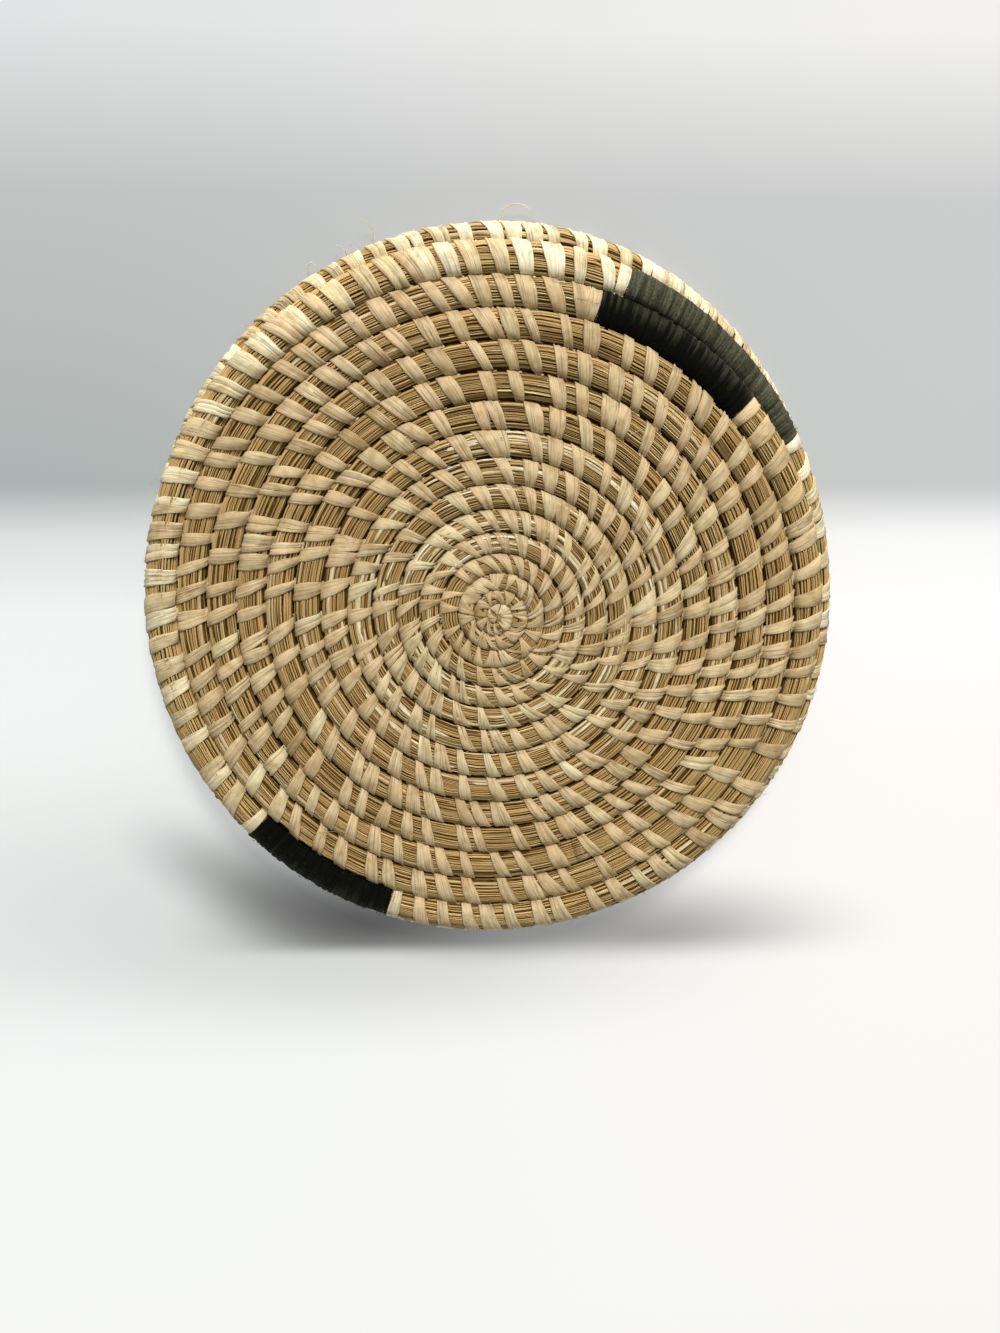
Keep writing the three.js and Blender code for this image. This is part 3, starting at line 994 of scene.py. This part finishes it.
def ribbonPieces():
    rng = np.random.default_rng(ribbons["seed"])
    n, rings = ribbons["count"], ribbons["rings"]
    start, end = ribbons["fromEnds"][0], lengthAt[-1] - ribbons["fromEnds"][1]
    middle = np.interp(rng.uniform(start, end, n), lengthAt, stations)
    bright = rng.random(n) < ribbons["bright"]
    middle = np.where(bright, rng.uniform(*ribbons["brightTurns"], n), middle)
    outside = bright | (rng.random(n) < ribbons["outsideShare"])
    around = np.where(outside, rng.uniform(*ribbons["outside"], n), rng.uniform(*ribbons["inside"], n))
    length = np.where(bright, rng.uniform(*ribbons["brightLength"], n), rng.uniform(*ribbons["length"], n))
    share = np.linspace(-0.5, 0.5, rings)
    turn = middle[:, None] + turnsFor(length, middle)[:, None] * share
    taper = np.clip((0.5 - np.abs(share)) * ribbons["taper"], ribbons["tipWidth"], 1)
    half = rng.uniform(*ribbons["width"], n)[:, None] / 2 * taper
    reach = skin(turn, around[:, None])
    across, up = np.array(ribbons["across"]), np.array(ribbons["up"])
    drifting = around[:, None] + rng.uniform(-ribbons["drift"], ribbons["drift"], (n, 1)) * share
    turned = drifting[:, :, None] + np.degrees(half / reach)[:, :, None] * across
    out = reach[:, :, None] + (ribbons["lift"] + up * taper[:, None]) * ribbons["thickness"]
    points = onCoil(turn[:, :, None], turned, out)
    along = length[:, None] * share / 1000 + np.arange(n)[:, None] * ribbons["grainApart"]
    uv = np.stack(np.broadcast_arrays(along[:, :, None], across * half[:, :, None] / 1000), -1)
    tones = np.where(bright, rng.uniform(*ribbons["brightTone"], n), rng.uniform(*ribbons["tone"], n))
    tones = np.broadcast_to(tones[:, None, None], out.shape)
    for runName, slotName, node, first, last, cuts in runs:
        here = (middle >= first) & (middle < last) & ~inBands(middle)
        faces = tubeFaces(int(here.sum()), rings, len(across))
        name = f"{runName}Ribbons"
        meshPiece(name, points[here], faces, leafStrip, [node], tones[here], uv[here])


ribbonPieces()

# Loose fibres: fine hairs that stand off the strips and the outer rows, and a fuzz on the black blocks
loose = {
    "seed": 77,
    "rings": 7,
    "sides": 3,
    "bend": 1.2,  # radians
    "ends": (0.3, 1.0),  # how much of its arch a hair has
    "lift": 0.35,
    "thinning": 0.6,
    "lowest": 0.05,  # mm: none goes below the ground
    "tone": 0.95,
    "grainLength": 0.03,
    "radius": (0.05, 0.1),
    "pale": {
        "count": 120,
        "fromEnds": 20,
        "outsideShare": 0.65,
        "outside": (-55, 55),
        "inside": (125, 235),
        "length": (3, 14),
        "height": (0.3, 1.6),
    },
    "edge": {
        "count": 80, "turns": (14.55, 16.7), "around": (-30, 60), "length": (3, 11), "height": (0.8, 3.2),
    },
    "fuzz": {
        "count": 240,  # on each block
        "around": (-70, 250),
        "length": (0.8, 3.2),
        "height": (0.4, 1.1),
        "radius": (0.05, 0.09),
        "tones": (0.6, 0.85),  # on the base, and beyond it, lighter there as painted light
        "grainApart": 0.003,
    },
}

# A few longer ones that curl out past the basket's edge, by their places in mm
curls = {
    "rings": 22,
    "sides": 4,
    "rounding": 3,
    "radii": (0.2, 0.1),
    "tone": 1.0,
    "grainLength": 0.06,
    "paths": [
        [
            (108.2, 1.0, 17), (111, 1.4, 16), (113.9, 2.4, 15), (115.0, 4.9, 14), (115.2, 8.1, 14),
            (113.6, 11, 15), (110.2, 13, 17),
        ],
        [(103.5, -35.4, 17), (106, -35, 16), (107.8, -35.1, 15), (109.5, -36.4, 14), (110.4, -38.4, 13)],
        [(100.3, -42.6, 17), (101.9, -43.2, 15), (103, -44.2, 14), (103.5, -46, 14)],
        [(94.8, -54.2, 17), (96.4, -54.3, 15), (98, -54, 14), (99, -52.8, 14), (97.5, -51.6, 14)],
    ],
}


def fibreTubes(paths, radii, sides):
    # thin tubes along paths: points by fibre, ring and side, in mm
    slant = np.array([0.31, 0.52, 0.79])  # no fibre runs this way
    heading = np.gradient(paths, axis=1)
    heading /= np.linalg.norm(heading, axis=2, keepdims=True) + 1e-9
    aside = np.cross(heading, slant)
    aside /= np.linalg.norm(aside, axis=2, keepdims=True) + 1e-9
    upward = np.cross(aside, heading)
    corner = np.arange(sides) * 2 * np.pi / sides
    ring = upward[:, :, None] * np.cos(corner)[:, None] + aside[:, :, None] * np.sin(corner)[:, None]
    return paths[:, :, None] + ring * radii[:, :, None, None]


def fibrePiece(name, tubes, grainAlong, tone, material):
    shape = tubes.shape[:3]
    tones, uv = np.full(shape, tone), np.zeros((*shape, 2)) + grainAlong
    meshPiece(name, tubes, tubeFaces(*shape), material, [], tones, uv)


def straySet(rng, turn, around, length, height, radius):
    # hairs that leave the surface at one end, bend over and come down again or end in the air
    n, rings = len(turn), loose["rings"]
    share = np.linspace(0, 1, rings)
    heading = rng.uniform(0, 2 * np.pi, n)[:, None]
    heading = heading + rng.uniform(-loose["bend"], loose["bend"], (n, 1)) * share
    east = np.cos(heading).cumsum(1) / rings * length[:, None]
    north = np.sin(heading).cumsum(1) / rings * length[:, None]
    rise = height[:, None] * np.sin(np.pi * share * rng.uniform(*loose["ends"], (n, 1)))
    at = turn[:, None] + turnsFor(east, turn[:, None])
    turned = around[:, None] + np.degrees(north / skin(at, around[:, None]))
    paths = onCoil(at, turned, skin(at, turned) + loose["lift"] + rise)
    tubes = fibreTubes(paths, radius[:, None] * (1 - loose["thinning"] * share), loose["sides"])
    tubes[..., 2] = np.maximum(tubes[..., 2], loose["lowest"])
    return tubes


def loosePieces():
    rng = np.random.default_rng(loose["seed"])
    pale, edge, fuzz = loose["pale"], loose["edge"], loose["fuzz"]
    n = pale["count"]
    places = rng.uniform(pale["fromEnds"], lengthAt[-1] - pale["fromEnds"], n)
    turn = np.interp(places, lengthAt, stations)
    outside = rng.random(n) < pale["outsideShare"]
    around = np.where(outside, rng.uniform(*pale["outside"], n), rng.uniform(*pale["inside"], n))
    length, height = rng.uniform(*pale["length"], n), rng.uniform(*pale["height"], n)
    n = edge["count"]
    turn = np.concatenate([turn, rng.uniform(*edge["turns"], n)])
    around = np.concatenate([around, rng.uniform(*edge["around"], n)])
    length = np.concatenate([length, rng.uniform(*edge["length"], n)])
    height = np.concatenate([height, rng.uniform(*edge["height"], n)])
    made = straySet(rng, turn, around, length, height, rng.uniform(*loose["radius"], len(turn)))
    grainAlong = np.linspace(0, loose["grainLength"], loose["rings"])[:, None, None]
    for runName, slotName, node, first, last, cuts in runs:
        here = (turn >= first) & (turn < last) & ~inBands(turn)
        fibrePiece(f"{runName}LooseFibres", made[here], grainAlong, loose["tone"], leafStrip)
    n = fuzz["count"]
    grainAlong = fuzz["grainApart"] * np.arange(n)[:, None, None, None]
    for name, first, last in allBands:
        turn, around = rng.uniform(first, last, n), rng.uniform(*fuzz["around"], n)
        length, height = rng.uniform(*fuzz["length"], n), rng.uniform(*fuzz["height"], n)
        made = straySet(rng, turn, around, length, height, rng.uniform(*fuzz["radius"], n))
        # fuzz beyond the base is lighter, as painted light
        tone = fuzz["tones"][first > coil["lastFlatTurn"]]
        fibrePiece(f"blackFuzz{name}", made, grainAlong, tone, blackFibre)


def curlPiece():
    rings, parts = curls["rings"], []
    radii = np.linspace(*curls["radii"], rings)[None]
    for curl in curls["paths"]:
        along = np.linspace(0, len(curl) - 1, rings)
        path = np.stack([np.interp(along, range(len(curl)), axis) for axis in np.array(curl, float).T], -1)
        for _ in range(curls["rounding"]):  # the ends stay
            path[1:-1] = (path[:-2] + 2 * path[1:-1] + path[2:]) / 4
        parts.append(fibreTubes(path[None], radii, curls["sides"])[0])
    grainAlong = np.linspace(0, curls["grainLength"], rings)[:, None, None]
    fibrePiece("edgeCurls", np.stack(parts), grainAlong, curls["tone"], leafStrip)


loosePieces()
curlPiece()
print("loose fibres laid")

# Camera: below the basket, which lay on its side with its underside to the camera
view = {
    "place": (41.6, -11.6, -295.2),
    "up": (0.980, 0.009, 0.199),
    "look": (-0.199, 0.042, 0.979),
    "lens": 27.0,
    "sensor": 36,
    "clip": (0.01, 20),
}


def placeCamera():
    lens = bpy.data.cameras.new("camera")
    lens.lens, lens.sensor_width, lens.sensor_fit = view["lens"], view["sensor"], "AUTO"
    lens.clip_start, lens.clip_end = view["clip"]
    camera = bpy.data.objects.new("camera", lens)
    bpy.context.scene.collection.objects.link(camera)
    bpy.context.scene.camera = camera
    look, up = Vector(view["look"]).normalized(), Vector(view["up"])
    up = (up - look * up.dot(look)).normalized()
    turned = Matrix((look.cross(up), up, -look)).transposed().to_4x4()
    camera.matrix_world = Matrix.Translation(Vector(view["place"]) / 1000) @ turned


placeCamera()

# Stage, in metres. The floor shows from above only and the backdrop from below only, where the camera is.
stage = {
    "floorSize": 3.0,
    "floorPlace": (0, 0, -0.0002),
    "floorFade": (0.7, 1.4),  # from the middle
    "floorColour": "#eeeeec",
    "backdropSize": 0.7,
    "backdropPlace": (-0.05, 0, 0.017),
    "backdropGlow": 0.55,
    # colours up the backdrop, on its left and on its right: white below and grey above, lighter at the top
    "upward": {"From Min": -0.26, "From Max": 0.18},
    "sideways": {"From Min": -0.15, "From Max": 0.15},
    "leftColours": [
        (0.0, "#fbfdfc"), (0.45, "#f2f7f6"), (0.58, "#f0f4f4"), (0.635, "#dbe0e1"), (0.67, "#abb2b2"),
        (0.86, "#bcbfc0"), (0.96, "#dadddf"),
    ],
    "rightColours": [
        (0.0, "#fdfdfa"), (0.45, "#fcf9f6"), (0.58, "#fdfdfd"), (0.635, "#f5f6f7"), (0.67, "#c5c8c9"),
        (0.86, "#c6c8c9"), (0.96, "#e8e8e6"),
    ],
    # a painted shadow, like the shade on the ground that the basket stands on in the photograph, a wedge
    # below it on the left:
    # middle and reach across and up, depth, turn, and the heights where it has ended and where it is full
    "shades": [
        ((-0.038, -0.109), (0.075, 0.028), 0.75, 0.0, (-0.1225, -0.116)),
        ((-0.076, -0.0975), (0.058, 0.022), 0.58, 0.48, (-0.1205, -0.1145)),
        ((0.048, -0.114), (0.095, 0.026), 0.56, 0.0, (-0.128, -0.115)),
        ((-0.1, -0.105), (0.2, 0.075), 0.2, 0.0, (-0.17, -0.12)),
        ((-0.02, -0.125), (0.14, 0.05), 0.14, 0.0, (-0.17, -0.13)),
    ],
    # lamps: name, place, size, power and colour
    "lamps": [
        ("sideLamp", (1.85, 0.2, 0.15), 0.6, 20, "#fff6e4"),
        ("frontLamp", (1.45, 0.25, -1.4), 0.6, 42, "#fffcf7"),
        ("topLamp", (0.5, 0.6, 1.9), 0.8, 24, "#fffbf4"),
    ],
    "lampAim": (0, 0, 0.03),
    "worldColour": "#f2f2f0",
    "worldStrength": 0.38,
}
eased = {"interpolation_type": "SMOOTHSTEP"}  # for shades without an edge


def oneSided(name, glow=0.0, fade=None):
    # a matt surface that shows on its front only, with a share of its light from itself, and that fades
    # out from the first to the second distance from the middle
    material, tree, shader = newMaterial(name)
    tree.nodes.remove(shader)
    surface = addNode(tree, "ShaderNodeMix", {"data_type": "RGBA", 0: 0})
    matt = addNode(tree, "ShaderNodeBsdfDiffuse", links={"Color": surface.outputs[2]})
    glowing = addNode(tree, "ShaderNodeEmission", links={"Color": surface.outputs[2]})
    blend = {1: matt.outputs["BSDF"], 2: glowing.outputs["Emission"]}
    front = addNode(tree, "ShaderNodeMixShader", {0: glow}, blend)
    clear = addNode(tree, "ShaderNodeBsdfTransparent")
    hidden = addNode(tree, "ShaderNodeNewGeometry").outputs["Backfacing"]
    if fade:
        place = addNode(tree, "ShaderNodeTexCoord").outputs["Object"]
        distance = addNode(tree, "ShaderNodeVectorMath", {"operation": "LENGTH"}, {0: place})
        settings = {**eased, "From Min": fade[0], "From Max": fade[1]}
        faded = addNode(tree, "ShaderNodeMapRange", settings, {"Value": distance.outputs["Value"]})
        both = {0: hidden, 1: faded.outputs["Result"]}
        hidden = addNode(tree, "ShaderNodeMath", {"operation": "MAXIMUM"}, both).outputs["Value"]
    blend = {0: hidden, 1: front.outputs["Shader"], 2: clear.outputs["BSDF"]}
    mix = addNode(tree, "ShaderNodeMixShader", links=blend)
    tree.links.new(mix.outputs["Shader"], tree.nodes["Material Output"].inputs["Surface"])
    return material, tree, surface


def floorMaterial():
    material, tree, surface = oneSided("paleFloor", fade=stage["floorFade"])
    surface.inputs[6].default_value = colour(stage["floorColour"])
    return material


def shaded(tree, base, place, height, centre, reach, depth, turned, ends):
    # a colour with a soft oval of painted shade on it that ends below a line
    settings = {"vector_type": "TEXTURE", "Rotation": (0, 0, turned)}
    settings.update({"Location": (centre[1], centre[0], 0), "Scale": (reach[1], reach[0], 1)})
    within = addNode(tree, "ShaderNodeMapping", settings, {"Vector": place}).outputs["Vector"]
    distance = addNode(tree, "ShaderNodeVectorMath", {"operation": "LENGTH"}, {0: within}).outputs["Value"]
    settings = {**eased, "To Min": depth, "To Max": 0.0}
    oval = addNode(tree, "ShaderNodeMapRange", settings, {"Value": distance}).outputs["Result"]
    settings = {**eased, "From Min": ends[0], "From Max": ends[1]}
    above = addNode(tree, "ShaderNodeMapRange", settings, {"Value": height}).outputs["Result"]
    both = addNode(tree, "ShaderNodeMath", {"operation": "MULTIPLY"}, {0: oval, 1: above}).outputs["Value"]
    light = addNode(tree, "ShaderNodeMath", {"operation": "SUBTRACT", 0: 1.0}, {1: both}).outputs["Value"]
    settings = {"data_type": "RGBA", "blend_type": "MULTIPLY", 0: 1.0}
    return addNode(tree, "ShaderNodeMix", settings, {6: base, 7: light}).outputs[2]


def backdropMaterial():
    material, tree, surface = oneSided("paleBackdrop", stage["backdropGlow"])
    place = addNode(tree, "ShaderNodeTexCoord").outputs["Object"]
    apart = addNode(tree, "ShaderNodeSeparateXYZ", links={0: place}).outputs
    upward = addNode(tree, "ShaderNodeMapRange", stage["upward"], {"Value": apart["X"]}).outputs["Result"]
    left = addNode(tree, "ShaderNodeValToRGB", {"stops": stage["leftColours"]}, {"Fac": upward})
    right = addNode(tree, "ShaderNodeValToRGB", {"stops": stage["rightColours"]}, {"Fac": upward})
    sideways = addNode(tree, "ShaderNodeMapRange", {**eased, **stage["sideways"]}, {"Value": apart["Y"]})
    links = {0: sideways.outputs["Result"], 6: left.outputs["Color"], 7: right.outputs["Color"]}
    mixed = addNode(tree, "ShaderNodeMix", {"data_type": "RGBA"}, links).outputs[2]
    for settings in stage["shades"]:
        mixed = shaded(tree, mixed, place, apart["X"], *settings)
    tree.links.new(mixed, surface.inputs[6])
    return material


def stagePlane(name, size, place, material, facingDown=False):
    bpy.ops.mesh.primitive_plane_add(size=size, location=place)
    plane = bpy.context.object
    plane.name = name
    if facingDown:
        bpy.ops.object.mode_set(mode="EDIT")
        bpy.ops.mesh.select_all(action="SELECT")
        bpy.ops.mesh.flip_normals()
        bpy.ops.object.mode_set(mode="OBJECT")
    bpy.ops.object.transform_apply(location=True)
    plane.data.materials.append(material)
    plane.visible_shadow = plane.visible_diffuse = False
    plane.visible_glossy = plane.visible_transmission = False
    bpy.ops.object.select_all(action="DESELECT")


stagePlane("floor", stage["floorSize"], stage["floorPlace"], floorMaterial())
stagePlane("backdrop", stage["backdropSize"], stage["backdropPlace"], backdropMaterial(), facingDown=True)


def areaLamp(name, place, size, power, warmth):
    lamp = bpy.data.lights.new(name, "AREA")
    lamp.size, lamp.energy, lamp.color = size, power, colour(warmth)[:3]
    holder = bpy.data.objects.new(name, lamp)
    holder.location = place
    holder.rotation_euler = (Vector(stage["lampAim"]) - Vector(place)).to_track_quat("-Z", "Y").to_euler()
    bpy.context.scene.collection.objects.link(holder)


for settings in stage["lamps"]:
    areaLamp(*settings)


def lightWorld():
    # a plain light, and the pale background that the camera, gloss and glass see
    world = bpy.data.worlds.new("world")
    bpy.context.scene.world = world
    world.use_nodes = True
    tree = world.node_tree
    plain = tree.nodes["Background"]
    plain.inputs["Color"].default_value = (1, 1, 1, 1)
    plain.inputs["Strength"].default_value = stage["worldStrength"]
    seen = addNode(tree, "ShaderNodeBackground", {"Color": colour(stage["worldColour"]), "Strength": 1.0})
    path = addNode(tree, "ShaderNodeLightPath")
    seenRay = path.outputs["Is Camera Ray"]
    for kind in ("Is Glossy Ray", "Is Transmission Ray"):
        rays = {0: seenRay, 1: path.outputs[kind]}
        seenRay = addNode(tree, "ShaderNodeMath", {"operation": "MAXIMUM"}, rays).outputs["Value"]
    blend = {0: seenRay, 1: plain.outputs["Background"], 2: seen.outputs["Background"]}
    mix = addNode(tree, "ShaderNodeMixShader", links=blend)
    tree.links.new(mix.outputs["Shader"], tree.nodes["World Output"].inputs["Surface"])


lightWorld()
bpy.context.scene.view_settings.view_transform = "Standard"
print("stage set")
